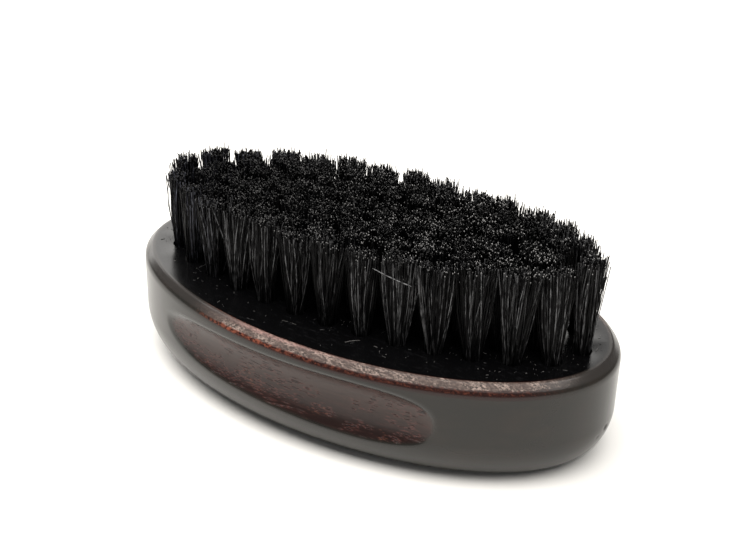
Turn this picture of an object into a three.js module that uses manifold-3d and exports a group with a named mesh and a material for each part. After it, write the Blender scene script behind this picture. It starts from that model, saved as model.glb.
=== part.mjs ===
// Oval palm brush for beards, lying on its back with the bristles up.
//
// Millimetres. X runs along the brush, Y across it and Z up. The origin is on the flat back, under
// the middle of the block. The block is one piece of wood. Each bristle tuft is folded in two and
// held in its own blind hole by a short piece of flat wire, the anchor, which lies in the fold and
// bites into the wood on both sides of the hole.
import * as THREE from "three";
import { mergeVertices } from "three/addons/utils/BufferGeometryUtils.js";
import Module from "manifold-3d";

const wasm = await Module();
wasm.setup();

// Block: an oval with a chamfered rim and an elliptical rounding down to the flat back.
const LENGTH = 105;
const WIDTH = 57;
const BLOCK_HEIGHT = 23;
const RIM_CHAMFER = 1.7;
const BACK_ROUND_IN = 8;
const BACK_ROUND_UP = 10;
const BLOCK_SIDES = 80;
const BACK_ROUND_STEPS = 5;

// Finger scoops: one shallow hollow in each long side. It grows wider and deeper towards +X, and
// its middle line falls a little that way.
const SCOOP_CENTRE_X = -4.5;
const SCOOP_CENTRE_Z = 13.7;
const SCOOP_HEIGHT = 11.8;
const SCOOP_DEPTH = 2;
const SCOOP_TAPER = 0.12;
const SCOOP_FALL = 0.6;
// The cutter is a long rounded body whose middle line runs outside the wall.
const CUTTER_HALF_LENGTH = 33.5;
const CUTTER_REACH = 6;
const CUTTER_END_POWER = 4;
const CUTTER_SIDES = 14;
const CUTTER_STATIONS = 20;

// Tufts stand in nested ovals, all with about the same pitch along the oval, and in two straight
// rows in the middle.
const OUTER_OVAL_X = 45.5;
const OUTER_OVAL_Y = 16.5;
const OVAL_STEP_X = 6;
const OVAL_STEP_Y = 4.6;
const OVALS = 3;
const TUFT_PITCH = 7.34;
const MIDDLE_ROW_Y = 2.3;
const MIDDLE_ROW_TUFTS = 8;
const MIDDLE_ROW_PITCH = 6.8;

// Tuft: round in its hole, and fanned out into an oval at the tips.
const HOLE_DIAMETER = 3.8;
const HOLE_DEPTH = 9;
const CLEARANCE = 0.3;
const TUFT_LENGTH = 17.7;
const TIP_ALONG = 6.2;
const TIP_ACROSS = 4;
const TUFT_SIDES = 10;
const INNER_TUFT_SIDES = 8;
// The tip of a tuft stands further out than its foot by this factor.
const TIP_SPREAD_X = 1.01;
const TIP_SPREAD_Y = 1.03;
// The tips are trimmed a little aslant: they rise by this much for each millimetre towards +X.
const TRIM_SLOPE = 0.035;
// Inside the outer oval the tips close up into one brushing surface of this thickness.
const TIP_PAD_THICKNESS = 2.5;
const TIP_PAD_SEGMENTS = 24;

// Anchor: flat wire, cut off at a slant so that the ends dig into the wood.
const ANCHOR_LENGTH = 5;
const ANCHOR_HEIGHT = 1.6;
const ANCHOR_THICKNESS = 0.4;
const ANCHOR_POINT = 0.5;
const ANCHOR_LIFT = 1.3;

// How far a cutting body runs past the face that it cuts.
const OVERRUN = 1;

const stainedWood = new THREE.MeshStandardMaterial({ color: 0x2e1e1c, roughness: 0.4, metalness: 0 });
const blackBristle = new THREE.MeshStandardMaterial({ color: 0x141417, roughness: 0.55, metalness: 0 });
const anchorSteel = new THREE.MeshStandardMaterial({ color: 0xa9abad, roughness: 0.35, metalness: 1 });

// A closed geometry as a manifold-3d solid.
function solid(geometry) {
  const bare = geometry.clone();
  bare.deleteAttribute("normal");
  bare.deleteAttribute("uv");
  const merged = mergeVertices(bare);
  return new wasm.Manifold(
    new wasm.Mesh({
      numProp: 3,
      vertProperties: merged.getAttribute("position").array,
      triVerts: new Uint32Array(merged.index.array),
    }),
  );
}

// A manifold-3d solid as a named mesh.
function meshOf(name, body, material) {
  const mesh = body.getMesh();
  const geometry = new THREE.BufferGeometry();
  geometry.setAttribute("position", new THREE.BufferAttribute(new Float32Array(mesh.vertProperties), 3));
  geometry.setIndex(new THREE.BufferAttribute(new Uint32Array(mesh.triVerts), 1));
  const named = new THREE.Mesh(geometry, material);
  named.name = name;
  return named;
}

// A body skinned over oval rings from the bottom up. A ring has its centre x, y and z, its
// half-sizes rx and ry, and the angle that it is turned by.
function loft(sides, rings) {
  const steps = rings.length - 1;
  const geometry = new THREE.CylinderGeometry(1, 1, steps, sides, steps);
  geometry.rotateX(Math.PI / 2);
  const position = geometry.getAttribute("position");
  for (let i = 0; i < position.count; i++) {
    const ring = rings[Math.round(position.getZ(i) + steps / 2)];
    const cos = Math.cos(ring.angle);
    const sin = Math.sin(ring.angle);
    const along = position.getX(i) * ring.rx;
    const across = position.getY(i) * ring.ry;
    position.setXYZ(i, ring.x + along * cos - across * sin, ring.y + along * sin + across * cos, ring.z);
  }
  return solid(geometry);
}

// The block's outer form, with no holes or scoops.
function blockForm() {
  const rings = [];
  const ringAt = (inset, z) =>
    rings.push({ x: 0, y: 0, z, rx: LENGTH / 2 - inset, ry: WIDTH / 2 - inset, angle: 0 });
  for (let i = 0; i <= BACK_ROUND_STEPS; i++) {
    const turn = ((i / BACK_ROUND_STEPS) * Math.PI) / 2;
    ringAt(BACK_ROUND_IN * (1 - Math.sin(turn)), BACK_ROUND_UP * (1 - Math.cos(turn)));
  }
  ringAt(0, BLOCK_HEIGHT - RIM_CHAMFER);
  ringAt(RIM_CHAMFER, BLOCK_HEIGHT);
  return loft(BLOCK_SIDES, rings);
}

// The body that hollows out one finger scoop. side is -1 for the front and 1 for the back.
function scoopCutter(side) {
  const a = LENGTH / 2;
  const b = WIDTH / 2;
  const offset = CUTTER_REACH - SCOOP_DEPTH;
  const share = offset / CUTTER_REACH;
  const halfHeight = SCOOP_HEIGHT / 2 / Math.sqrt(1 - share ** 2);
  const geometry = new THREE.SphereGeometry(1, CUTTER_SIDES, CUTTER_STATIONS);
  geometry.rotateZ(-Math.PI / 2);
  const position = geometry.getAttribute("position");
  for (let i = 0; i < position.count; i++) {
    const station = THREE.MathUtils.clamp(position.getX(i), -1, 1);
    const blunt = (1 - Math.abs(station) ** CUTTER_END_POWER) ** (1 / CUTTER_END_POWER);
    const girth = blunt * (1 + SCOOP_TAPER * station);
    const slim = Math.sqrt(Math.max(1 - station ** 2, Number.EPSILON));
    const out = offset + ((position.getY(i) * girth) / slim) * CUTTER_REACH * side;
    const up = ((position.getZ(i) * girth) / slim) * halfHeight - SCOOP_FALL * station;
    const x = SCOOP_CENTRE_X + station * CUTTER_HALF_LENGTH;
    const wall = Math.sqrt(1 - (x / a) ** 2);
    const normal = new THREE.Vector2(x / a ** 2, wall / b).normalize();
    position.setXYZ(i, x + normal.x * out, side * (b * wall + normal.y * out), SCOOP_CENTRE_Z + up);
  }
  return solid(geometry);
}

// The tufts' feet on one oval, numbered from 0 for the outermost. An oval with an even number
// starts at the +X end of the brush, and the others start half a pitch further on.
function tuftsOnOval(oval) {
  const rx = OUTER_OVAL_X - oval * OVAL_STEP_X;
  const ry = OUTER_OVAL_Y - oval * OVAL_STEP_Y;
  const curve = new THREE.EllipseCurve(0, 0, rx, ry);
  const count = 2 * Math.round(curve.getLength() / TUFT_PITCH / 2);
  const start = oval % 2 ? 0.5 : 0;
  const feet = [];
  for (let i = 0; i < count; i++) {
    const share = (i + start) / count;
    const point = curve.getPointAt(share);
    feet.push({ x: point.x, y: point.y, angle: curve.getTangentAt(share).angle() });
  }
  return feet;
}

// The tufts' feet in the two straight rows in the middle.
function tuftsInMiddleRows() {
  const feet = [];
  for (const side of [-1, 1]) {
    for (let i = 0; i < MIDDLE_ROW_TUFTS; i++) {
      const x = (i - (MIDDLE_ROW_TUFTS - 1) / 2) * MIDDLE_ROW_PITCH;
      feet.push({ x, y: side * MIDDLE_ROW_Y, angle: 0 });
    }
  }
  return feet;
}

// One tuft, from its fold in the hole up to a given length above the block.
function tuftForm(foot, sides, length) {
  const footRadius = HOLE_DIAMETER / 2 - CLEARANCE;
  const share = length / TUFT_LENGTH;
  const fanned = (atFoot, atTip) => THREE.MathUtils.lerp(atFoot, atTip, share);
  const shaft = { x: foot.x, y: foot.y, rx: footRadius, ry: footRadius, angle: foot.angle };
  const tip = {
    x: foot.x * fanned(1, TIP_SPREAD_X),
    y: foot.y * fanned(1, TIP_SPREAD_Y),
    z: BLOCK_HEIGHT + length + TRIM_SLOPE * foot.x,
    rx: fanned(footRadius, TIP_ALONG / 2),
    ry: fanned(footRadius, TIP_ACROSS / 2),
    angle: foot.angle,
  };
  return loft(sides, [
    { ...shaft, z: BLOCK_HEIGHT - HOLE_DEPTH + CLEARANCE },
    { ...shaft, z: BLOCK_HEIGHT },
    tip,
  ]);
}

// The closed-up tips of neighbouring tufts: a plate between two ovals, or within one.
function tipPad(outer, inner) {
  const halfPad = TIP_ACROSS / 2;
  const rx = (oval) => (OUTER_OVAL_X - oval * OVAL_STEP_X) * TIP_SPREAD_X;
  const ry = (oval) => (OUTER_OVAL_Y - oval * OVAL_STEP_Y) * TIP_SPREAD_Y;
  const shape = new THREE.Shape();
  shape.absellipse(0, 0, rx(outer) + halfPad, ry(outer) + halfPad, 0, 2 * Math.PI);
  if (inner !== null) {
    const hole = new THREE.Path();
    hole.absellipse(0, 0, rx(inner) - halfPad, ry(inner) - halfPad, 0, 2 * Math.PI, true);
    shape.holes.push(hole);
  }
  const settings = { depth: TIP_PAD_THICKNESS, bevelEnabled: false, curveSegments: TIP_PAD_SEGMENTS };
  const plate = new THREE.ExtrudeGeometry(shape, settings);
  plate.translate(0, 0, BLOCK_HEIGHT + TUFT_LENGTH - TIP_PAD_THICKNESS);
  const position = plate.getAttribute("position");
  for (let i = 0; i < position.count; i++) {
    position.setZ(i, position.getZ(i) + TRIM_SLOPE * position.getX(i));
  }
  return solid(plate);
}

// Several tufts and the pad that joins their tips, as one body. They end inside the pad.
function joinedTufts(feet, pad) {
  const length = TUFT_LENGTH - TIP_PAD_THICKNESS / 2;
  return feet.reduce((body, foot) => body.add(tuftForm(foot, INNER_TUFT_SIDES, length)), pad);
}

// Everything on one side of the middle line, clear of it by half the usual gap.
function halfSpace(side) {
  const box = new THREE.BoxGeometry(LENGTH, WIDTH, 4 * BLOCK_HEIGHT);
  box.translate(0, (side * (WIDTH + CLEARANCE)) / 2, 0);
  return solid(box);
}

// The anchor at a foot. A clearance makes it into the body that cuts its slot.
function anchorForm(foot, clearance) {
  const half = ANCHOR_LENGTH / 2 + clearance;
  const bottom = -clearance;
  const top = ANCHOR_HEIGHT + clearance;
  const outline = new THREE.Shape([
    new THREE.Vector2(-half, top),
    new THREE.Vector2(-half + ANCHOR_POINT, bottom),
    new THREE.Vector2(half - ANCHOR_POINT, bottom),
    new THREE.Vector2(half, top),
  ]);
  const thickness = ANCHOR_THICKNESS + 2 * clearance;
  const wire = new THREE.ExtrudeGeometry(outline, { depth: thickness, bevelEnabled: false });
  wire.rotateX(Math.PI / 2);
  wire.translate(foot.x, foot.y + thickness / 2, BLOCK_HEIGHT - HOLE_DEPTH + ANCHOR_LIFT);
  return solid(wire);
}

// The blind hole for a tuft.
function holeForm(foot, sides) {
  const depth = HOLE_DEPTH + OVERRUN;
  const hole = new THREE.CylinderGeometry(HOLE_DIAMETER / 2, HOLE_DIAMETER / 2, depth, sides);
  hole.rotateX(Math.PI / 2);
  hole.rotateZ(foot.angle);
  hole.translate(foot.x, foot.y, BLOCK_HEIGHT - HOLE_DEPTH + depth / 2);
  return solid(hole);
}

const ovals = Array.from({ length: OVALS }, (_, oval) => tuftsOnOval(oval));
const [outerFeet, secondFeet, thirdFeet] = ovals;
const coreFeet = [...thirdFeet, ...tuftsInMiddleRows()];

const brush = new THREE.Group();
brush.name = "beard_brush";

let block = blockForm().subtract(scoopCutter(-1)).subtract(scoopCutter(1));
for (const foot of outerFeet) {
  block = block.subtract(holeForm(foot, TUFT_SIDES)).subtract(anchorForm(foot, CLEARANCE));
}
for (const foot of [...secondFeet, ...coreFeet]) {
  block = block.subtract(holeForm(foot, INNER_TUFT_SIDES));
}
brush.add(meshOf("wood_block", block, stainedWood));

outerFeet.forEach((foot, i) => {
  const number = String(i + 1).padStart(2, "0");
  const tuft = tuftForm(foot, TUFT_SIDES, TUFT_LENGTH).subtract(anchorForm(foot, CLEARANCE));
  brush.add(meshOf(`outer_tuft_${number}`, tuft, blackBristle));
  brush.add(meshOf(`outer_anchor_${number}`, anchorForm(foot, 0), anchorSteel));
});

const secondPad = tipPad(1, 1);
const sides = [
  ["front", -1],
  ["back", 1],
];
for (const [word, side] of sides) {
  const feet = secondFeet.filter((foot) => foot.y * side > 0);
  const arc = joinedTufts(feet, secondPad.intersect(halfSpace(side))).intersect(halfSpace(side));
  brush.add(meshOf(`second_oval_tufts_${word}`, arc, blackBristle));
}
brush.add(meshOf("core_tufts", joinedTufts(coreFeet, tipPad(2, null)), blackBristle));

export default brush;
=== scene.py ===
"""Looks of the oval palm brush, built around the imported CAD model.

Every length below is in metres unless its name says otherwise. The wood block is rebuilt with a
fine surface, each bristle tuft becomes a bundle of folded hairs, and each tuft gets its anchor.
"""

import math

import bmesh
import bpy
import numpy as np
from mathutils import Matrix, Vector
from mathutils.geometry import delaunay_2d_cdt


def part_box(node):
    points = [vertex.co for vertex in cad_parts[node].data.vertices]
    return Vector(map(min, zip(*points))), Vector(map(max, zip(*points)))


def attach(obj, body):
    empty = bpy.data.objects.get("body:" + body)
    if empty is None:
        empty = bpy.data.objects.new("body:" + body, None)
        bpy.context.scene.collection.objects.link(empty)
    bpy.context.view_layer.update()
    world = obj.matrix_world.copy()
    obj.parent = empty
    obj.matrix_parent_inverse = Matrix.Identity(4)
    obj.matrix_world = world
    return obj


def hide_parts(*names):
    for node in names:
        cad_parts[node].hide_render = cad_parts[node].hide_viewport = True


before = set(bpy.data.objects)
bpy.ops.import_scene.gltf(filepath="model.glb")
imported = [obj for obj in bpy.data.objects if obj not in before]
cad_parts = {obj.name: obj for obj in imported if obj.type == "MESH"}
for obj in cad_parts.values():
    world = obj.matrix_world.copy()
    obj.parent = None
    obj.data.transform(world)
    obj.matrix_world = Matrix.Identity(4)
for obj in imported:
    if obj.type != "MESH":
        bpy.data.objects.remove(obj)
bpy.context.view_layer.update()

MM = 0.001
# Lengths that differ by less than this are taken as the same.
SAME_LEVEL = 0.01 * MM
SAME_PLACE = 0.05 * MM
MESHING_TOLERANCE = 1e-9

# The block, as in the CAD model. Its box gives the length, the width and the height.
_, block_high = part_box("wood_block")
HALF_LENGTH = block_high.x
HALF_WIDTH = block_high.y
FACE_Z = block_high.z
RIM_CHAMFER = 1.7 * MM
# The rim's two corners are rounded: how far each rounding reaches along the faces that it joins.
# The lower one reaches further down the wall than up the chamfer.
RIM_TOP_SOFTNESS = 0.35 * MM
RIM_FOOT_UP = 0.8 * MM
RIM_FOOT_DOWN = 1.0 * MM
BACK_ROUND_IN = 8 * MM
BACK_ROUND_UP = 10 * MM
SCOOP_CENTRE_X = -4.5 * MM
SCOOP_CENTRE_Z = 13.7 * MM
SCOOP_HEIGHT = 11.8 * MM
SCOOP_DEPTH = 2 * MM
SCOOP_TAPER = 0.12
SCOOP_FALL = 0.6 * MM
CUTTER_HALF_LENGTH = 33.5 * MM
CUTTER_REACH = 6 * MM
CUTTER_END_POWER = 4
SCOOP_EDGE = 0.12 * MM
# A painted highlight along the edge over a scoop lies this far outside the cut, measured as the
# cut's depth is.
LIP_OUTSIDE = 0.18 * MM
LIP_WIDTH = 0.22 * MM
# It fades towards the scoop's two ends, and from the scoop's upper part down to its middle.
LIP_FADE = 8 * MM
LIP_RISE = 2 * MM
# Dents at the +X end: place along Y, height, half width, half height and depth.
DENTS_MM = ((-1.3, 8.8, 0.75, 0.65, 0.25), (-3.8, 7.8, 0.4, 0.35, 0.12))
# How finely the block is meshed: stations round it, steps up the back's rounding, levels up the
# wall, points along each rounding of the rim, and the rings of the flat back.
BLOCK_STATIONS = 720
BACK_ROUND_STEP = math.radians(2.5)
WALL_STEPS_FROM = 6.5 * MM
WALL_STEP = 0.24 * MM
RIM_ROUNDING_POINTS = 9
BACK_RING_SHARES = (0.97, 0.8, 0.55, 0.3, 0.1)
FACE_RING_INSET = 0.3 * MM

# The nested ovals of tufts and the two straight rows in the middle, as in the CAD model.
OUTER_OVAL_X = 45.5 * MM
OUTER_OVAL_Y = 16.5 * MM
OVAL_STEP_X = 6 * MM
OVAL_STEP_Y = 4.6 * MM
OVALS = 3
MIDDLE_ROW_Y = 2.3 * MM
TUFT_LENGTH = 17.7 * MM
TRIM_SLOPE = 0.035
TIP_SPREAD_X = 1.0
TIP_SPREAD_Y = 1.02
TIP_ALONG = 6.3 * MM
TIP_ACROSS = 4.2 * MM
HOLE_RADIUS = 1.9 * MM
HOLE_DEPTH = 9 * MM
HOLE_SIDES = 20
HOLE_LIP = 0.2 * MM
# Each hole below its lip: how much wider than the hole, and how far below the top face.
HOLE_LEVELS = ((0.06 * MM, 0.02 * MM), (0, 0.1 * MM), (0, HOLE_DEPTH))

ANCHOR_LENGTH = 5 * MM
ANCHOR_HEIGHT = 1.6 * MM
ANCHOR_THICKNESS = 0.4 * MM
ANCHOR_POINT = 0.5 * MM
ANCHOR_LIFT = 1.3 * MM
ANCHOR_BEVEL = 0.08 * MM
ANCHOR_BEVEL_SEGMENTS = 2

HAIRS_PER_TUFT = 120
HAIR_SIDES = 5
HAIR_RADIUS = 0.09 * MM
HAIR_TIP_RADIUS = 0.08 * MM
BUNDLE_RADIUS = 1.7 * MM
# The least and the most that a hair's radius is, as a share of HAIR_RADIUS.
HAIR_THICKNESS = (0.8, 1.2)
# How one tuft or hair differs from the next: a mean and a spread, or a spread about zero.
TUFT_LEAN = 0.35 * MM
TUFT_SWELL = (1, 0.08)
TUFT_TRIM = (-0.1 * MM, 0.3 * MM)
HAIR_TWIST = 0.45
HAIR_FAN = 0.14
HAIR_BEND = 0.32 * MM
HAIR_TRIM = (-0.25 * MM, 0.4 * MM)
TIP_JITTER = 0.36 * MM
# The most that a hair may stand over its tuft's level.
TIP_OVER = 0.8 * MM
# This share of the hairs ends lower, by the least and the most of these lengths.
SHORT_SHARE = 0.12
SHORT_BY_MM = (0.4, 3.5)
# Stray hairs: what share of all hairs, and how far off their tips are. The strays reach further
# at the -X end.
STRAYS = ((0.04, 0.9 * MM), (0.004, 2.4 * MM))
STRAY_SLANT = 0.6
# Every hair draws a number from 0 to 1. Above the first of these the hair carries a grey painted
# highlight, by an amount in the range. Otherwise it is black, and shows only this share of its
# number as painted highlight.
HIGHLIGHT_ABOVE = 0.68
HIGHLIGHT_AMOUNT = (0.25, 1.1)
FAINT_HIGHLIGHT_SHARE = 0.03
# Every cut end draws one too, and carries a painted glint above this. Just below the end, this
# share of the glint is left.
TIP_GLINT_ABOVE = 0.66
FAINT_TIP_GLINT = 0.01
GLINT_BELOW_TIP = 0.6
# How the two legs of a hair sit beside their anchor, and how far below it the fold lies.
LEG_SHARE = 0.9
LEG_GAP = 0.3 * MM
LEG_SPREAD = 0.8
FOLD_DROP = 0.25 * MM
FOLD_SPREAD = 0.8 * MM
# Places along a hair above the block, from its tip to the block, and how much of the hair's
# painted highlight shows there. Less shows near the tip and least near the block, as painted shade.
TIP_SHARES = (1.0, 0.993, 0.986, 0.75, 0.5, 0.25, 0.0)
HIGHLIGHT_ALONG = (0.5, 0.5, 0.6, 1.0, 0.9, 0.6, 0.2)
# The inner tufts are darker, which is painted shade: their hairs show this much of that painted
# highlight.
INNER_HIGHLIGHT_SHARE = 0.2

# A loose hair that is caught across the front tufts, just below their tips: its two ends.
LOOSE_HAIR_MM = ((10.9, -18.9, 39.1), (19.6, -19.9, 38.45))
LOOSE_HAIR_POINTS = 6
LOOSE_HAIR_SAG = 0.25 * MM

# Cut bristle ends on the margin of the top face. They lie in a band that starts inside the outer
# oval, denser towards its inner edge, and none lies over a hole.
CLIPPINGS = 420
CLIPPING_BAND_IN = 2 * MM
CLIPPING_BAND_X = 6 * MM
CLIPPING_BAND_Y = 11 * MM
CLIPPING_CROWDING = 1.4
CLIPPING_OFF_HOLE = 0.5 * MM
# Their half lengths, a few long ones and their radii, in millimetres where the name says so.
CLIPPING_HALF_MM = 0.12
CLIPPING_LEAST = 0.04 * MM
CLIPPING_LONG_SHARE = 0.012
CLIPPING_LONG_MM = (0.7, 1.8)
CLIPPING_RADIUS_MM = (0.025, 0.06)
CLIPPING_POINTS = 4
CLIPPING_BOW = 0.12
# A tube along X itself would have no sides, so every path leans this much away from it.
CLIPPING_SLANT = 1e-6

SEED = 7


# --- mesh helpers -------------------------------------------------------------------------------


def add_piece(name, vertices, faces, material, smooth=True):
    """A new mesh object that rides on the brush."""
    mesh = bpy.data.meshes.new(name)
    mesh.from_pydata(vertices, [], faces)
    mesh.update()
    if smooth:
        mesh.shade_smooth()
    else:
        mesh.shade_flat()
    mesh.materials.append(material)
    piece = bpy.data.objects.new(name, mesh)
    bpy.context.scene.collection.objects.link(piece)
    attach(piece, "root")
    return piece


def add_attribute(piece, name, values):
    """One number per vertex, which the materials read."""
    attribute = piece.data.attributes.new(name, "FLOAT", "POINT")
    attribute.data.foreach_set("value", np.asarray(values, np.float32))


def face_outward(piece):
    """Turns the faces of a closed mesh outwards."""
    work = bmesh.new()
    work.from_mesh(piece.data)
    bmesh.ops.recalc_face_normals(work, faces=work.faces)
    work.to_mesh(piece.data)
    work.free()


def strip(first, second, count):
    """Quads between two rings of points. Each ring is given by the number of its first point."""
    pairs = [(i, (i + 1) % count) for i in range(count)]
    return [(first + i, first + j, second + j, second + i) for i, j in pairs]


# --- the tufts' feet, read from the CAD model ---------------------------------------------------


def feet_of(node):
    """The middle of each tuft's foot in a CAD node: the flat caps at the node's lowest level."""
    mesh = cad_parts[node].data
    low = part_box(node)[0].z + SAME_LEVEL
    caps = []
    for polygon in mesh.polygons:
        corners = [mesh.vertices[i].co for i in polygon.vertices]
        if max(c.z for c in corners) > low:
            continue
        cap = {(round(c.x, 6), round(c.y, 6)) for c in corners}
        for other in [c for c in caps if c & cap]:
            cap |= other
            caps.remove(other)
        caps.append(cap)
    return [sum((Vector(c) for c in cap), Vector((0, 0))) / len(cap) for cap in caps]


def along_row(foot):
    """The direction of the oval or straight row that a foot stands in, as an angle."""
    in_middle_rows = abs(abs(foot.y) - MIDDLE_ROW_Y) < SAME_PLACE
    if in_middle_rows and abs(foot.x) < OUTER_OVAL_X - OVALS * OVAL_STEP_X:
        return 0.0

    def half_sizes(oval):
        return OUTER_OVAL_X - oval * OVAL_STEP_X, OUTER_OVAL_Y - oval * OVAL_STEP_Y

    def miss(oval):
        rx, ry = half_sizes(oval)
        return abs((foot.x / rx) ** 2 + (foot.y / ry) ** 2 - 1)

    rx, ry = half_sizes(min(range(OVALS), key=miss))
    return math.atan2(foot.x / rx**2, -foot.y / ry**2)


tuft_nodes = sorted(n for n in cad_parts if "tuft" in n)
anchor_nodes = sorted(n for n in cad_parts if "anchor" in n)
feet = {node: feet_of(node) for node in tuft_nodes}
all_feet = [foot for node in tuft_nodes for foot in feet[node]]


# --- materials ----------------------------------------------------------------------------------

# Linear colours. The outside of the wood, the scoops, the top face and then the worn rim.
STAIN_DARK = (0.0135, 0.0125, 0.0105)
STAIN_LIGHT = (0.0180, 0.0145, 0.0115)
SCOOP_UPPER = (0.036, 0.0185, 0.0145)
# The colour at the scoops' lower edge is painted shade.
SCOOP_LOWER_PAINTED_SHADE = (0.0125, 0.0042, 0.0032)
STREAK_LIGHT = (0.043, 0.016, 0.013)
STREAK_DARK = (0.0070, 0.0028, 0.0022)
PORE_FRINGE = (0.090, 0.033, 0.028)
# The dark middle of each pore is painted shadow.
PORE_PAINTED_SHADOW = (0.002, 0.001, 0.001)
CHIPPED = (0.125, 0.050, 0.032)
# A painted highlight along the top edge of each scoop.
LIP_PAINTED_HIGHLIGHT = (0.085, 0.085, 0.082)
TOP_BLACK = (0.0012, 0.0012, 0.0014)
TOP_SCRATCH = (0.010, 0.010, 0.011)
RIM_WHOLE = (0.024, 0.021, 0.019)
RIM_DARK_RED = (0.016, 0.005, 0.004)
RIM_ORANGE = (0.21, 0.062, 0.036)
WORN_DARK = (0.028, 0.018, 0.014)
WORN_PALE = (0.28, 0.210, 0.180)
WORN_BLOTCH = (0.048, 0.029, 0.024)
PINK_START = (0.035, 0.023, 0.021)
PINK_WOOD = (0.27, 0.150, 0.131)
# Bristle, wire, dust and floor.
BRISTLE_BLACK = (0.0006, 0.0006, 0.0008)
# Painted highlights on the hairs, and the painted glint on cut ends.
BRISTLE_HIGHLIGHT_GREY = (0.165, 0.165, 0.17)
BRISTLE_HIGHLIGHT_BLUISH = (0.13, 0.135, 0.17)
BRISTLE_TIP_GLINT = (0.33, 0.325, 0.32)
WIRE_DARK = (0.36, 0.36, 0.37)
WIRE_LIGHT = (0.55, 0.55, 0.55)
DUST_DARK = (0.015, 0.015, 0.016)
DUST_PALE = (0.15, 0.143, 0.135)
FLOOR_COLOUR = (0.86, 0.85, 0.825, 1)

# Where the wear of the rim starts and where it ends, along the brush.
WEAR_STARTS = (-22 * MM, -9 * MM)
WEAR_ENDS = (50 * MM, 40 * MM)


class Nodes:
    """Short calls for building one material's node tree."""

    def __init__(self, name):
        self.material = bpy.data.materials.new(name)
        self.material.use_nodes = True
        self.tree = self.material.node_tree
        self.tree.nodes.clear()
        self.shader = self.tree.nodes.new("ShaderNodeBsdfPrincipled")
        output = self.tree.nodes.new("ShaderNodeOutputMaterial")
        self.tree.links.new(self.shader.outputs["BSDF"], output.inputs["Surface"])
        self.place = self.tree.nodes.new("ShaderNodeTexCoord").outputs["Object"]

    def put(self, socket, value):
        """Links a socket's source, or sets a plain value on it."""
        if isinstance(value, bpy.types.NodeSocket):
            self.tree.links.new(value, socket)
        else:
            socket.default_value = value

    def math(self, operation, *values):
        node = self.tree.nodes.new("ShaderNodeMath")
        node.operation = operation
        for socket, value in zip(node.inputs, values):
            self.put(socket, value)
        return node.outputs[0]

    def times(self, value, factor):
        """value * factor"""
        return self.math("MULTIPLY", value, factor)

    def times_plus(self, value, factor, added):
        """value * factor + added"""
        return self.math("MULTIPLY_ADD", value, factor, added)

    def mix(self, share, a, b):
        """a where share is 0, b where it is 1."""
        node = self.tree.nodes.new("ShaderNodeMix")
        node.data_type = "RGBA"
        self.put(node.inputs[0], share)
        for socket, colour in ((node.inputs[6], a), (node.inputs[7], b)):
            linked = isinstance(colour, bpy.types.NodeSocket)
            self.put(socket, colour if linked else (*colour, 1))
        return node.outputs[2]

    def ramp(self, value, low, high):
        """0 below low, 1 above high, and smooth between."""
        node = self.tree.nodes.new("ShaderNodeMapRange")
        node.interpolation_type = "SMOOTHSTEP"
        self.put(node.inputs["Value"], value)
        node.inputs["From Min"].default_value = low
        node.inputs["From Max"].default_value = high
        return node.outputs["Result"]

    def scaled(self, per_mm, shift):
        """The place on the object, in cycles per millimetre along each axis."""
        mapping = self.tree.nodes.new("ShaderNodeMapping")
        mapping.inputs["Scale"].default_value = [f / MM for f in per_mm]
        mapping.inputs["Location"].default_value = (shift, shift, shift)
        self.put(mapping.inputs["Vector"], self.place)
        return mapping.outputs["Vector"]

    def noise(self, per_mm, detail=3.0, roughness=0.55, shift=0.0):
        """Noise with its own frequency along each axis, in cycles per millimetre."""
        node = self.tree.nodes.new("ShaderNodeTexNoise")
        node.inputs["Scale"].default_value = 1
        node.inputs["Detail"].default_value = detail
        node.inputs["Roughness"].default_value = roughness
        self.put(node.inputs["Vector"], self.scaled(per_mm, shift))
        return node.outputs["Fac"]

    def cells(self, per_mm, shift=0.0):
        """The distance to the nearest of many scattered points, in cells of this size."""
        node = self.tree.nodes.new("ShaderNodeTexVoronoi")
        node.inputs["Scale"].default_value = 1
        self.put(node.inputs["Vector"], self.scaled(per_mm, shift))
        return node.outputs["Distance"]

    def place_on(self, axis):
        """The place along X (0), Y (1) or Z (2)."""
        node = self.tree.nodes.new("ShaderNodeSeparateXYZ")
        self.put(node.inputs[0], self.place)
        return node.outputs[axis]

    def attribute(self, name):
        node = self.tree.nodes.new("ShaderNodeAttribute")
        node.attribute_name = name
        return node.outputs["Fac"]

    def bump(self, height, depth_mm):
        node = self.tree.nodes.new("ShaderNodeBump")
        node.inputs["Distance"].default_value = depth_mm * MM
        self.put(node.inputs["Height"], height)
        self.put(self.shader.inputs["Normal"], node.outputs["Normal"])


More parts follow.
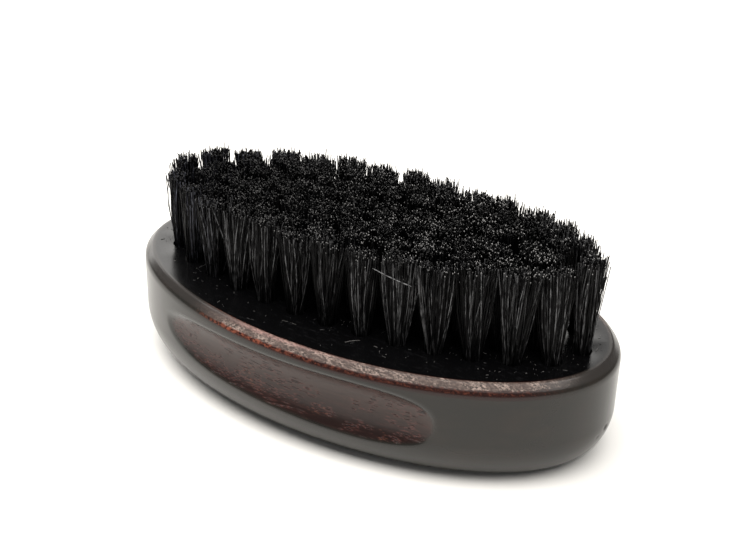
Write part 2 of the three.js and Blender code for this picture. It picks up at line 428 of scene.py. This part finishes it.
def wood_material():
    """Open-pored wood under a black-brown stain and a satin lacquer. The stain is thinner in the
    finger scoops, and rubbed through along the rim."""
    n = Nodes("stained_wood")
    scoop = n.attribute("scoop")
    lip_highlight = n.attribute("lip_highlight")
    rim = n.attribute("rim")
    top = n.attribute("top")

    along = n.place_on(0)
    height = n.place_on(2)
    figure = n.noise((0.03, 0.25, 0.25), detail=3)
    streak = n.noise((0.08, 1.6, 1.6), detail=4, roughness=0.65)
    blotch = n.noise((0.25, 0.6, 0.6), detail=3, shift=17)
    speck = n.noise((1.5, 3.0, 3.0), detail=3, roughness=0.75, shift=23)
    in_scoop = n.ramp(scoop, 0.04, 0.30)

    # Open pores: short dashes along the grain, in clusters, with a red fringe. Their dark middle is
    # painted shadow inside the pore.
    pore_at = n.cells((0.34, 2.6, 2.6), shift=3)
    pore_zones = n.ramp(n.noise((0.16, 0.24, 0.24), detail=1, shift=31), 0.43, 0.51)
    pore = n.times(n.ramp(pore_at, 0.36, 0.26), pore_zones)
    fringe = n.times(n.ramp(pore_at, 0.55, 0.38), pore_zones)
    # Flecks where the stain has chipped off, in a few places.
    fleck_zones = n.ramp(n.noise((0.10, 0.22, 0.22), detail=1, shift=41), 0.56, 0.64)
    fleck_at = n.cells((0.8, 3.2, 3.2), shift=11)
    fleck = n.times(n.ramp(fleck_at, 0.38, 0.20), fleck_zones)

    # The stained and lacquered outside.
    stain = n.mix(n.ramp(figure, 0.35, 0.70), STAIN_DARK, STAIN_LIGHT)
    # The scoops are redder. Darker towards their lower edge is painted shade, standing for the dark
    # surroundings that the lower edge reflects.
    low = n.ramp(n.times_plus(figure, 3 * MM, height), 16.5 * MM, 11 * MM)
    scoop_wood_and_painted_shade = n.mix(low, SCOOP_UPPER, SCOOP_LOWER_PAINTED_SHADE)
    scoop_wood_and_painted_shade = n.mix(n.times(n.ramp(streak, 0.50, 0.70), 0.4), scoop_wood_and_painted_shade, STREAK_LIGHT)
    scoop_wood_and_painted_shade = n.mix(n.times(n.ramp(streak, 0.50, 0.30), 0.45), scoop_wood_and_painted_shade, STREAK_DARK)
    scoop_wood_and_painted_shade = n.mix(n.times(fringe, 0.65), scoop_wood_and_painted_shade, PORE_FRINGE)
    # The dark middle of each pore is painted shadow.
    scoop_wood_and_painted_shade = n.mix(n.times(pore, 0.95), scoop_wood_and_painted_shade, PORE_PAINTED_SHADOW)
    scoop_wood_and_painted_shade = n.mix(n.times(fleck, 0.7), scoop_wood_and_painted_shade, CHIPPED)
    colour = n.mix(in_scoop, stain, scoop_wood_and_painted_shade)
    # A painted highlight along the top edge of each scoop.
    colour = n.mix(n.times(lip_highlight, 0.5), colour, LIP_PAINTED_HIGHLIGHT)
    # The top face is nearly black, with fine scratches.
    scratch_at = n.noise((0.5, 3.5, 3.5), detail=2, shift=71)
    scratch = n.times(n.ramp(scratch_at, 0.60, 0.72), 0.6)
    colour = n.mix(top, colour, n.mix(scratch, TOP_BLACK, TOP_SCRATCH))

    # The rim from the wall up: dark red stain, orange where it is rubbed, pale bare wood with
    # dark pores, and a pink line along the top edge. The stain is whole towards the -X end.
    foot_at = n.times_plus(along, 3.0, rim)
    spots = n.noise((1.3, 2.0, 2.0), detail=3, roughness=0.7, shift=61)
    spots = n.times_plus(along, -1.8, spots)
    rubbed = n.times(n.ramp(spots, 0.40, 0.66), n.ramp(rim, 0.18, 0.34))
    # The orange fades to dark red towards the +X end.
    orange = n.times_plus(n.ramp(along, 12 * MM, -16 * MM), 0.65, 0.35)
    rim_foot = n.mix(n.times(rubbed, orange), RIM_DARK_RED, RIM_ORANGE)
    worn = n.mix(n.ramp(speck, 0.42, 0.62), WORN_DARK, WORN_PALE)
    worn = n.mix(n.times(n.ramp(blotch, 0.45, 0.58), 0.75), worn, WORN_BLOTCH)
    edge = n.times_plus(speck, 0.16, rim)
    foot_top = n.times_plus(along, -2.0, n.times_plus(blotch, 0.25, edge))
    rim_colour = n.mix(n.ramp(foot_top, 0.66, 0.75), rim_foot, worn)
    pink = n.times_plus(along, -5.0, edge)
    pink = n.times(n.ramp(pink, 0.90, 1.10), n.ramp(along, 24 * MM, -10 * MM))
    pink_wood = n.mix(n.ramp(along, -20 * MM, -8 * MM), PINK_START, PINK_WOOD)
    pink = n.times(pink, n.times_plus(n.ramp(speck, 0.40, 0.60), 0.55, 0.30))
    rim_colour = n.mix(pink, rim_colour, pink_wood)
    wear_at = n.times_plus(blotch, 10 * MM, along)
    wear = n.times(n.ramp(wear_at, *WEAR_STARTS), n.ramp(along, *WEAR_ENDS))
    rim_colour = n.mix(wear, n.mix(n.ramp(rim, 0.4, 0.6), stain, RIM_WHOLE), rim_colour)
    in_rim = n.times(n.ramp(foot_at, 0.06, 0.18), n.ramp(rim, 0.0, 0.06))
    colour = n.mix(in_rim, colour, rim_colour)
    n.put(n.shader.inputs["Base Color"], colour)

    worn_rim = n.times(n.ramp(rim, 0.4, 0.5), wear)
    rough = n.times_plus(figure, 0.06, 0.20)
    rough = n.times_plus(worn_rim, 0.30, rough)
    n.put(n.shader.inputs["Roughness"], n.times_plus(in_scoop, 0.08, rough))
    n.shader.inputs["Specular IOR Level"].default_value = 0.37
    relief = n.times(speck, n.times(worn_rim, 0.9))
    relief = n.times_plus(n.times(streak, in_scoop), 0.25, relief)
    n.bump(n.times_plus(n.times(pore, in_scoop), -1.8, relief), 0.07)
    return n.material


def bristle_material():
    """Black boar bristle. Some hairs carry painted highlight streaks, and some cut ends carry
    painted glints.
    """
    n = Nodes("black_bristle")
    shade = n.attribute("shade")
    tip = n.attribute("tip")
    # Painted shade interrupts the painted highlights along each hair, where hairs cross.
    highlight_breaks = n.ramp(n.noise((1.6, 1.6, 0.5), detail=2, shift=5), 0.40, 0.60)
    shade = n.times(shade, n.times_plus(highlight_breaks, 0.85, 0.15))
    # The painted glints on the cut ends gather in patches, with more of them towards +X.
    clusters = n.ramp(n.noise((0.30, 0.42, 0.1), detail=2, shift=13), 0.46, 0.56)
    clusters = n.times(clusters, n.ramp(n.place_on(0), -60 * MM, 35 * MM))
    tip = n.times(tip, n.times_plus(clusters, 0.9, 0.1))
    # The painted highlights turn a cooler blue towards the -X end.
    bluish_highlight = n.ramp(n.place_on(0), -22 * MM, -40 * MM)
    body = n.mix(shade, BRISTLE_BLACK, n.mix(bluish_highlight, BRISTLE_HIGHLIGHT_GREY, BRISTLE_HIGHLIGHT_BLUISH))
    n.put(n.shader.inputs["Base Color"], n.mix(tip, body, BRISTLE_TIP_GLINT))
    wave = n.noise((2.5, 2.5, 0.7), detail=2)
    n.put(n.shader.inputs["Roughness"], n.times_plus(wave, 0.2, 0.30))
    n.shader.inputs["Specular IOR Level"].default_value = 0.1
    n.bump(wave, 0.01)
    return n.material


def wire_material():
    """Bright drawn flat wire with fine lines along its length."""
    n = Nodes("anchor_wire")
    lines = n.noise((0.4, 12.0, 12.0), detail=2)
    n.put(n.shader.inputs["Base Color"], n.mix(lines, WIRE_DARK, WIRE_LIGHT))
    n.shader.inputs["Metallic"].default_value = 1
    n.put(n.shader.inputs["Roughness"], n.times_plus(lines, 0.2, 0.2))
    n.bump(lines, 0.01)
    return n.material


def dust_material():
    """Cut ends of bristle, from black to a pale grey."""
    n = Nodes("bristle_dust")
    shade = n.attribute("shade")
    n.put(n.shader.inputs["Base Color"], n.mix(shade, DUST_DARK, DUST_PALE))
    n.put(n.shader.inputs["Roughness"], n.noise((2, 2, 2)))
    return n.material


def floor_material():
    n = Nodes("studio_floor")
    n.shader.inputs["Base Color"].default_value = FLOOR_COLOUR
    n.shader.inputs["Roughness"].default_value = 0.6
    n.shader.inputs["Specular IOR Level"].default_value = 0.2
    return n.material


wood = wood_material()
bristle = bristle_material()
wire = wire_material()
dust = dust_material()


# --- the wood block -----------------------------------------------------------------------------


def scoop_cut(x, z):
    """How deep a finger scoop goes below the wall at a place along the brush and a height."""
    offset = CUTTER_REACH - SCOOP_DEPTH
    half_height = SCOOP_HEIGHT / 2 / math.sqrt(1 - (offset / CUTTER_REACH) ** 2)
    station = np.clip((x - SCOOP_CENTRE_X) / CUTTER_HALF_LENGTH, -1, 1)
    blunt = (1 - np.abs(station) ** CUTTER_END_POWER) ** (1 / CUTTER_END_POWER)
    girth = blunt * (1 + SCOOP_TAPER * station)
    up = (z - SCOOP_CENTRE_Z + SCOOP_FALL * station) / np.maximum(girth * half_height, MM)
    return girth * CUTTER_REACH * np.sqrt(np.clip(1 - up**2, 0, 1)) - offset


def scoop_lip_highlight(x, z, inset):
    """1 on the painted highlight along the top edge of a finger scoop, and 0 elsewhere."""
    near_edge = np.exp(-(((scoop_cut(x, z) - inset + LIP_OUTSIDE) / LIP_WIDTH) ** 2))
    fade = np.clip((CUTTER_HALF_LENGTH - np.abs(x - SCOOP_CENTRE_X)) / LIP_FADE, 0, 1)
    return near_edge * fade * np.clip((z - SCOOP_CENTRE_Z) / LIP_RISE, 0, 1)


def soft_positive(value, softness):
    """value where it is well above zero, 0 where it is well below, and smooth between."""
    return 0.5 * (value + np.sqrt(value**2 + softness**2)) - 0.5 * softness


def block_profile():
    """(inset from the wall, height, place across the rim chamfer) from the back up to the face."""
    rows = []
    turn = 0.0
    while BACK_ROUND_UP * (1 - math.cos(turn)) < WALL_STEPS_FROM:
        rows.append((BACK_ROUND_IN * (1 - math.sin(turn)), BACK_ROUND_UP * (1 - math.cos(turn)), 0))
        turn += BACK_ROUND_STEP
    crease = FACE_Z - RIM_CHAMFER
    wall_top = crease - RIM_FOOT_DOWN
    levels = math.ceil((wall_top - WALL_STEPS_FROM) / WALL_STEP)
    for z in np.linspace(WALL_STEPS_FROM, wall_top, levels):
        sine = math.sqrt(1 - (1 - min(z / BACK_ROUND_UP, 1)) ** 2)
        rows.append((BACK_ROUND_IN * (1 - sine), z, 0))
    foot_slant = RIM_FOOT_UP / math.sqrt(2)
    top_slant = RIM_TOP_SOFTNESS / math.sqrt(2)
    foot = ((0, wall_top), (0, crease), (foot_slant, crease + foot_slant))
    top = (
        (RIM_CHAMFER - top_slant, FACE_Z - top_slant),
        (RIM_CHAMFER, FACE_Z),
        (RIM_CHAMFER + RIM_TOP_SOFTNESS, FACE_Z),
    )
    steps = np.linspace(0, 1, RIM_ROUNDING_POINTS)
    # The foot's first point is the last one of the wall.
    for (start, corner, end), shares in ((foot, steps[1:]), (top, steps)):
        for t in shares:
            inset, z = (
                (1 - t) ** 2 * s + 2 * t * (1 - t) * c + t**2 * e
                for s, c, e in zip(start, corner, end)
            )
            across = (inset + z - wall_top) / (2 * RIM_CHAMFER + RIM_FOOT_DOWN)
            rows.append((inset, z, min(across, 1)))
    return rows


def block_face(rim_loop, first_index):
    """Triangles of the flat top face between the rim and the holes, the points that they add,
    and the number of the first point of each hole's ring."""
    inner = [Vector(p[:2]) * (1 - FACE_RING_INSET / HALF_WIDTH) for p in rim_loop]
    points = list(inner)
    edges = [(i, (i + 1) % len(inner)) for i in range(len(inner))]
    rings = []
    lip_radius = HOLE_RADIUS + HOLE_LIP
    hole_clearance = lip_radius * math.cos(math.pi / HOLE_SIDES)
    for foot in all_feet:
        ring = len(points)
        for i in range(HOLE_SIDES):
            turn = 2 * math.pi * i / HOLE_SIDES
            points.append(foot + Vector((math.cos(turn), math.sin(turn))) * lip_radius)
        edges += [(ring + i, ring + (i + 1) % HOLE_SIDES) for i in range(HOLE_SIDES)]
        rings.append(first_index + ring)
    flat, _, triangles, _, _, _ = delaunay_2d_cdt(points, edges, [], 0, MESHING_TOLERANCE)
    kept = []
    for triangle in triangles:
        middle = sum((flat[i] for i in triangle), Vector((0, 0))) / 3
        if (middle.x / inner[0].x) ** 2 + (middle.y / HALF_WIDTH) ** 2 > 1:
            continue
        if all((middle - foot).length > hole_clearance for foot in all_feet):
            kept.append([first_index + i for i in triangle])
    return [(p.x, p.y, FACE_Z) for p in flat], kept, rings


def add_flat_back(vertices, faces):
    """The flat back: rings that shrink from the block's first ring towards the middle."""
    outer = 0
    for share in BACK_RING_SHARES:
        start = len(vertices)
        for i in range(BLOCK_STATIONS):
            vertices.append((vertices[i][0] * share, vertices[i][1] * share, 0.0))
        for i in range(BLOCK_STATIONS):
            j = (i + 1) % BLOCK_STATIONS
            faces.append((outer + j, outer + i, start + i, start + j))
        outer = start
    faces.append(tuple(outer + BLOCK_STATIONS - 1 - i for i in range(BLOCK_STATIONS)))


def add_holes(vertices, faces, rings):
    """The holes below the top face: a small lead-in, a wall and a flat floor."""
    for foot, previous in zip(all_feet, rings):
        for wider, deep in HOLE_LEVELS:
            radius = HOLE_RADIUS + wider
            start = len(vertices)
            for i in range(HOLE_SIDES):
                angle = 2 * math.pi * i / HOLE_SIDES
                x = foot.x + radius * math.cos(angle)
                vertices.append((x, foot.y + radius * math.sin(angle), FACE_Z - deep))
            faces += strip(previous, start, HOLE_SIDES)
            previous = start
        faces.append(tuple(reversed(range(start, start + HOLE_SIDES))))


def build_block():
    """The whole block as one closed mesh, with the scoops, the rim and the blind holes."""
    turn = np.linspace(0, 2 * math.pi, BLOCK_STATIONS, endpoint=False)
    cos, sin = np.cos(turn), np.sin(turn)
    wall_normal = np.stack([cos / HALF_LENGTH, sin / HALF_WIDTH])
    wall_normal /= np.linalg.norm(wall_normal, axis=0)
    vertices, scoops, lip_highlights, rims, tops = [], [], [], [], []
    rows = block_profile()
    for inset, z, rim in rows:
        cut = soft_positive(scoop_cut(HALF_LENGTH * cos, z) - inset, SCOOP_EDGE)
        x = (HALF_LENGTH - inset) * cos - wall_normal[0] * cut
        y = (HALF_WIDTH - inset) * sin - wall_normal[1] * cut
        for dent_y, dent_z, wide, tall, depth in DENTS_MM:
            miss = ((y / MM - dent_y) / wide) ** 2 + ((z / MM - dent_z) / tall) ** 2
            x = x - np.where(cos > 0, depth * MM * np.exp(-(miss**2)), 0)
        vertices += list(zip(x, y, np.full_like(x, z)))
        scoops += list(cut / SCOOP_DEPTH)
        lip_highlights += list(scoop_lip_highlight(HALF_LENGTH * cos, z, inset))
        rims += [rim] * BLOCK_STATIONS
        tops += [0.0] * BLOCK_STATIONS
    faces = []
    for row in range(len(rows) - 1):
        faces += strip(row * BLOCK_STATIONS, (row + 1) * BLOCK_STATIONS, BLOCK_STATIONS)
    add_flat_back(vertices, faces)

    # The top face and its ring inside the rim.
    rim_start = (len(rows) - 1) * BLOCK_STATIONS
    rim_loop = vertices[rim_start : rim_start + BLOCK_STATIONS]
    first = len(vertices)
    flat, triangles, rings = block_face(rim_loop, first)
    vertices += flat
    faces += triangles
    faces += strip(rim_start, first, BLOCK_STATIONS)
    add_holes(vertices, faces, rings)

    rest = len(vertices) - len(scoops)
    scoops += [0.0] * rest
    lip_highlights += [0.0] * rest
    rims += [0.0] * rest
    tops += [0.0] * (first - len(tops)) + [1.0] * (len(vertices) - first)
    piece = add_piece("wood_block_fine", vertices, faces, wood)
    add_attribute(piece, "scoop", scoops)
    add_attribute(piece, "lip_highlight", lip_highlights)
    add_attribute(piece, "rim", rims)
    add_attribute(piece, "top", tops)
    face_outward(piece)
    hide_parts("wood_block")


# --- hairs --------------------------------------------------------------------------------------


def tubes(paths, radii):
    """Closed tubes along many paths at once. paths is hairs x points x 3, radii is hairs x points.
    Returns the vertices, the faces and how many vertices each hair has."""
    hairs, points, _ = paths.shape
    tangent = np.gradient(paths, axis=1)
    tangent /= np.linalg.norm(tangent, axis=2, keepdims=True)
    side = np.cross(tangent, (1.0, 0.0, 0.0))
    side /= np.linalg.norm(side, axis=2, keepdims=True)
    other = np.cross(tangent, side)
    turn = np.linspace(0, 2 * math.pi, HAIR_SIDES, endpoint=False)
    ring = (
        side[:, :, None, :] * np.cos(turn)[None, None, :, None]
        + other[:, :, None, :] * np.sin(turn)[None, None, :, None]
    )
    vertices = paths[:, :, None, :] + ring * radii[:, :, None, None]
    faces = []
    for hair in range(hairs):
        start = hair * points * HAIR_SIDES
        last = start + (points - 1) * HAIR_SIDES
        for ring_start in range(start, last, HAIR_SIDES):
            faces += strip(ring_start, ring_start + HAIR_SIDES, HAIR_SIDES)
        faces.append(tuple(start + HAIR_SIDES - 1 - i for i in range(HAIR_SIDES)))
        faces.append(tuple(last + i for i in range(HAIR_SIDES)))
    return vertices.reshape(-1, 3), faces, points * HAIR_SIDES


def hair_paths(foot, random):
    """Middle lines of one tuft's hairs. A hair comes down from one tip, passes under the anchor
    and goes up to its other tip."""
    count = HAIRS_PER_TUFT
    angle = along_row(foot)
    spin = np.array([[math.cos(angle), -math.sin(angle)], [math.sin(angle), math.cos(angle)]])
    centre = np.array(foot)
    tip_centre = centre * (TIP_SPREAD_X, TIP_SPREAD_Y)
    lean = random.normal(0, TUFT_LEAN, 2)
    swell = random.normal(*TUFT_SWELL)
    trim = random.normal(*TUFT_TRIM)
    level = TUFT_LENGTH + TRIM_SLOPE * foot.x

    def leg(sign):
        """From the tip down to the bottom of the hole, on one side of the anchor."""
        radius = np.sqrt(random.uniform(0, 1, count))
        turn = random.uniform(0, math.pi, count)
        disk = np.stack([radius * np.cos(turn), sign * radius * np.sin(turn)], axis=1)
        at_foot = centre + disk * BUNDLE_RADIUS
        twist = random.normal(0, HAIR_TWIST, count)
        cos, sin = np.cos(twist), np.sin(twist)
        across, beside = disk[:, 0], disk[:, 1]
        crossed = np.stack([across * cos - beside * sin, across * sin + beside * cos], axis=1)
        fan = (crossed @ spin) * (TIP_ALONG / 2, TIP_ACROSS / 2) * swell
        fan *= 1 + random.normal(0, HAIR_FAN, (count, 1))
        at_tip = tip_centre + lean + fan @ spin.T + random.normal(0, TIP_JITTER, (count, 2))
        for share, reach in STRAYS:
            stray = random.uniform(0, 1, count) < share
            reach_here = reach * (1 - STRAY_SLANT * foot.x / OUTER_OVAL_X)
            at_tip[stray] += random.normal(0, reach_here, (stray.sum(), 2))
        top = level + trim + random.normal(*HAIR_TRIM, count)
        short = random.uniform(0, 1, count) < SHORT_SHARE
        top[short] -= random.uniform(*SHORT_BY_MM, short.sum()) * MM
        top = np.minimum(top, level + TIP_OVER)
        bend = random.normal(0, HAIR_BEND, (count, 2))
        points = []
        for share in TIP_SHARES:
            spot = at_foot * (1 - share) + at_tip * share
            spot = spot + bend * math.sin(math.pi * share)
            points.append(np.column_stack([spot, FACE_Z + top * share]))
        inside = centre + disk * (BUNDLE_RADIUS * LEG_SHARE)
        inside[:, 1] = centre[1] + sign * (LEG_GAP + np.abs(beside) * BUNDLE_RADIUS * LEG_SPREAD)
        anchor_z = FACE_Z - HOLE_DEPTH + ANCHOR_LIFT
        points.append(np.column_stack([inside, np.full(count, anchor_z + ANCHOR_HEIGHT / 2)]))
        return points, disk

    one, disk = leg(-1)
    two, _ = leg(1)
    drop = FOLD_DROP + FOLD_SPREAD * np.abs(disk[:, 1])
    bottom_z = FACE_Z - HOLE_DEPTH + ANCHOR_LIFT - drop
    middle = (one[-1] + two[-1]) / 2
    fold = np.column_stack([middle[:, 0], np.full(count, centre[1]), bottom_z])
    return np.stack(one + [fold] + two[::-1], axis=1)


def build_tuft(name, foot, seed, highlight_share):
    """One tuft of folded hairs, whose highlight_share scales how much of its hairs' painted
    highlight shows.
    """
    random = np.random.default_rng(SEED * 1000 + seed)
    paths = hair_paths(foot, random)
    count, points, _ = paths.shape
    thick = random.uniform(*HAIR_THICKNESS, (count, 1)) * HAIR_RADIUS
    radii = np.repeat(thick, points, axis=1)
    radii[:, [0, -1]] = HAIR_TIP_RADIUS
    vertices, faces, _ = tubes(paths, radii)
    piece = add_piece(name, vertices.tolist(), faces, bristle)
    sides = [len(face) for face in faces]
    piece.data.polygons.foreach_set("use_smooth", [side == 4 for side in sides])
    # How much painted highlight each hair carries.
    shown = random.uniform(0, 1, count)
    highlight_amount = random.uniform(*HIGHLIGHT_AMOUNT, count)
    grey = np.where(shown > HIGHLIGHT_ABOVE, highlight_amount, FAINT_HIGHLIGHT_SHARE * shown) * highlight_share
    # From tip to tip, with none of the painted highlight at the three points in the hole.
    highlight_along_hair = np.array(HIGHLIGHT_ALONG + (0, 0, 0) + HIGHLIGHT_ALONG[::-1])
    shade = grey[:, None, None] * highlight_along_hair[None, :, None] * np.ones(HAIR_SIDES)
    add_attribute(piece, "shade", shade.ravel())
    # The painted glint at each cut end.
    ends = np.zeros((count, points, HAIR_SIDES))
    for end, below in ((0, 1), (-1, -2)):
        bright = random.uniform(0, 1, (count, 1))
        bright = np.where(bright > TIP_GLINT_ABOVE, bright, FAINT_TIP_GLINT)
        ends[:, end, :] = bright
        ends[:, below, :] = GLINT_BELOW_TIP * bright
    add_attribute(piece, "tip", ends.ravel())
    return piece


def build_tufts():
    """Every tuft, each in place of its CAD node."""
    number = 0
    for node in tuft_nodes:
        for foot in feet[node]:
            number += 1
            # A node with a single foot is one tuft of the outer oval.
            # The inner tufts show less of the painted highlight, as painted shade.
            highlight_share = 1.0 if len(feet[node]) == 1 else INNER_HIGHLIGHT_SHARE
            piece = build_tuft(f"bristle_tuft_{number:02d}", foot, number, highlight_share)
            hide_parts(node)


# --- anchors and loose bits ---------------------------------------------------------------------


def build_inner_anchors():
    """The anchors of the inner tufts, of the same flat wire as those in the CAD model."""
    outline = [
        (-ANCHOR_LENGTH / 2, ANCHOR_HEIGHT),
        (-ANCHOR_LENGTH / 2 + ANCHOR_POINT, 0),
        (ANCHOR_LENGTH / 2 - ANCHOR_POINT, 0),
        (ANCHOR_LENGTH / 2, ANCHOR_HEIGHT),
    ]
    number = 0
    for node in tuft_nodes:
        if len(feet[node]) == 1:
            continue
        for foot in feet[node]:
            number += 1
            vertices = []
            for side in (-0.5, 0.5):
                for x, z in outline:
                    y = foot.y + side * ANCHOR_THICKNESS
                    vertices.append((foot.x + x, y, FACE_Z - HOLE_DEPTH + ANCHOR_LIFT + z))
            faces = [(0, 1, 2, 3), (7, 6, 5, 4)]
            faces += [(i, i + 4, (i + 1) % 4 + 4, (i + 1) % 4) for i in range(4)]
            piece = add_piece(f"inner_anchor_{number:02d}", vertices, faces, wire, smooth=False)
            face_outward(piece)
            bevel = piece.modifiers.new("worn_edges", "BEVEL")
            bevel.width = ANCHOR_BEVEL
            bevel.segments = ANCHOR_BEVEL_SEGMENTS


def build_clippings():
    """Cut bristle ends and dust on the margin of the top face."""
    random = np.random.default_rng(SEED)
    turn = random.uniform(0, 2 * math.pi, CLIPPINGS)
    share = random.uniform(0, 1, CLIPPINGS) ** CLIPPING_CROWDING
    rx = OUTER_OVAL_X - CLIPPING_BAND_IN + share * CLIPPING_BAND_X
    ry = OUTER_OVAL_Y - CLIPPING_BAND_IN + share * CLIPPING_BAND_Y
    middle = np.stack([rx * np.cos(turn), ry * np.sin(turn)], axis=1)
    away = np.array([min((Vector(m) - f).length for f in all_feet) for m in middle])
    middle = middle[away > HOLE_RADIUS + CLIPPING_OFF_HOLE]
    count = len(middle)
    heading = random.uniform(0, math.pi, count)
    half = random.exponential(CLIPPING_HALF_MM, count) * MM + CLIPPING_LEAST
    long = random.uniform(0, 1, count) < CLIPPING_LONG_SHARE
    half[long] = random.uniform(*CLIPPING_LONG_MM, long.sum()) * MM
    radius = random.uniform(*CLIPPING_RADIUS_MM, count) * MM
    steps = np.linspace(-1, 1, CLIPPING_POINTS)
    bow = random.normal(0, CLIPPING_BOW, count) * half
    paths = np.zeros((count, len(steps), 3))
    for k, step in enumerate(steps):
        arch = bow * (1 - step**2)
        paths[:, k, 0] = middle[:, 0] + np.cos(heading) * half * step - np.sin(heading) * arch
        paths[:, k, 1] = middle[:, 1] + np.sin(heading) * half * step + np.cos(heading) * arch
        paths[:, k, 2] = FACE_Z + radius
    paths[:, :, 1] += CLIPPING_SLANT * steps
    vertices, faces, per_hair = tubes(paths, np.repeat(radius[:, None], len(steps), axis=1))
    piece = add_piece("bristle_clippings", vertices.tolist(), faces, dust)
    add_attribute(piece, "shade", np.repeat(random.uniform(0, 1, count) ** 2, per_hair))


def build_loose_hair():
    """One cut hair that was left lying on the brush."""
    ends = np.array(LOOSE_HAIR_MM) * MM
    share = np.linspace(0, 1, LOOSE_HAIR_POINTS)
    path = ends[0] + share[:, None] * (ends[1] - ends[0])
    path[:, 1] -= LOOSE_HAIR_SAG * np.sin(math.pi * share)
    vertices, faces, per_hair = tubes(path[None], np.full((1, len(share)), HAIR_RADIUS))
    piece = add_piece("loose_hair", vertices.tolist(), faces, bristle)
    # The loose hair carries the full painted highlight along its length, and no glint at its ends.
    add_attribute(piece, "shade", np.full(per_hair, 1.0))
    add_attribute(piece, "tip", np.zeros(per_hair))


def finish_cad_anchors():
    """Gives the anchors of the CAD model the same wire."""
    for node in anchor_nodes:
        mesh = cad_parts[node].data
        mesh.materials.clear()
        mesh.materials.append(wire)


# --- stage --------------------------------------------------------------------------------------

CAMERA_AZIMUTH = 29.03
CAMERA_ELEVATION = 29.63
CAMERA_ROLL = 1.69
CAMERA_DISTANCE = 272.5 * MM
CAMERA_AIM = Vector((-1.24, 3.85, 24.42)) * MM
CAMERA_LENS_MM = 64.38
CAMERA_CLIP_START = 0.01
SENSOR_MM = 36

# Each soft box: its name, azimuth and elevation in degrees, distance, size and watts.
LIGHTS = (
    ("window", 225, 18, 1.0, (1.45, 0.62), 7.7),
    ("soft_box", 6, 79, 1.2, (2.4, 0.95), 42),
)
LIGHT_COLOUR = (1.0, 0.975, 0.94)
WORLD_COLOUR = (0.93, 0.94, 0.95, 1)
WORLD_STRENGTH = 0.22
FLOOR_HALF = 1.5


def direction(azimuth, elevation):
    """The direction at this azimuth and elevation, in degrees. Azimuth 0 is in front of the brush,
    and 90 degrees is at its +X end."""
    turn, rise = math.radians(azimuth), math.radians(elevation)
    flat = math.cos(rise)
    return Vector((math.sin(turn) * flat, -math.cos(turn) * flat, math.sin(rise)))


def add_camera():
    back = direction(CAMERA_AZIMUTH, CAMERA_ELEVATION)
    right = Vector((0, 0, 1)).cross(back).normalized()
    up = back.cross(right)
    turn = Matrix((right, up, back)).transposed().to_4x4()
    data = bpy.data.cameras.new("camera")
    data.lens = CAMERA_LENS_MM
    data.sensor_width = SENSOR_MM
    data.clip_start = CAMERA_CLIP_START
    camera = bpy.data.objects.new("camera", data)
    camera.matrix_world = (
        Matrix.Translation(CAMERA_AIM + back * CAMERA_DISTANCE)
        @ turn
        @ Matrix.Rotation(math.radians(CAMERA_ROLL), 4, "Z")
    )
    bpy.context.scene.collection.objects.link(camera)
    bpy.context.scene.camera = camera


def add_area_light(name, azimuth, elevation, distance, size, watts):
    """A soft box that faces the brush."""
    away = direction(azimuth, elevation)
    data = bpy.data.lights.new(name, "AREA")
    data.shape = "RECTANGLE"
    data.size, data.size_y = size
    data.energy = watts
    data.color = LIGHT_COLOUR
    light = bpy.data.objects.new(name, data)
    light.location = Vector((0, 0, FACE_Z)) + away * distance
    light.rotation_euler = away.to_track_quat("Z", "Y").to_euler()
    bpy.context.scene.collection.objects.link(light)


def add_stage():
    corners = [(-1, -1), (1, -1), (1, 1), (-1, 1)]
    mesh = bpy.data.meshes.new("floor")
    mesh.from_pydata([(x * FLOOR_HALF, y * FLOOR_HALF, 0) for x, y in corners], [], [(0, 1, 2, 3)])
    mesh.materials.append(floor_material())
    floor = bpy.data.objects.new("floor", mesh)
    bpy.context.scene.collection.objects.link(floor)

    world = bpy.data.worlds.new("studio")
    world.use_nodes = True
    background = world.node_tree.nodes["Background"]
    background.inputs["Color"].default_value = WORLD_COLOUR
    background.inputs["Strength"].default_value = WORLD_STRENGTH
    bpy.context.scene.world = world
    for light in LIGHTS:
        add_area_light(*light)
    bpy.context.scene.view_settings.view_transform = "Standard"


build_block()
build_tufts()
build_inner_anchors()
finish_cad_anchors()
build_clippings()
build_loose_hair()
add_camera()
add_stage()
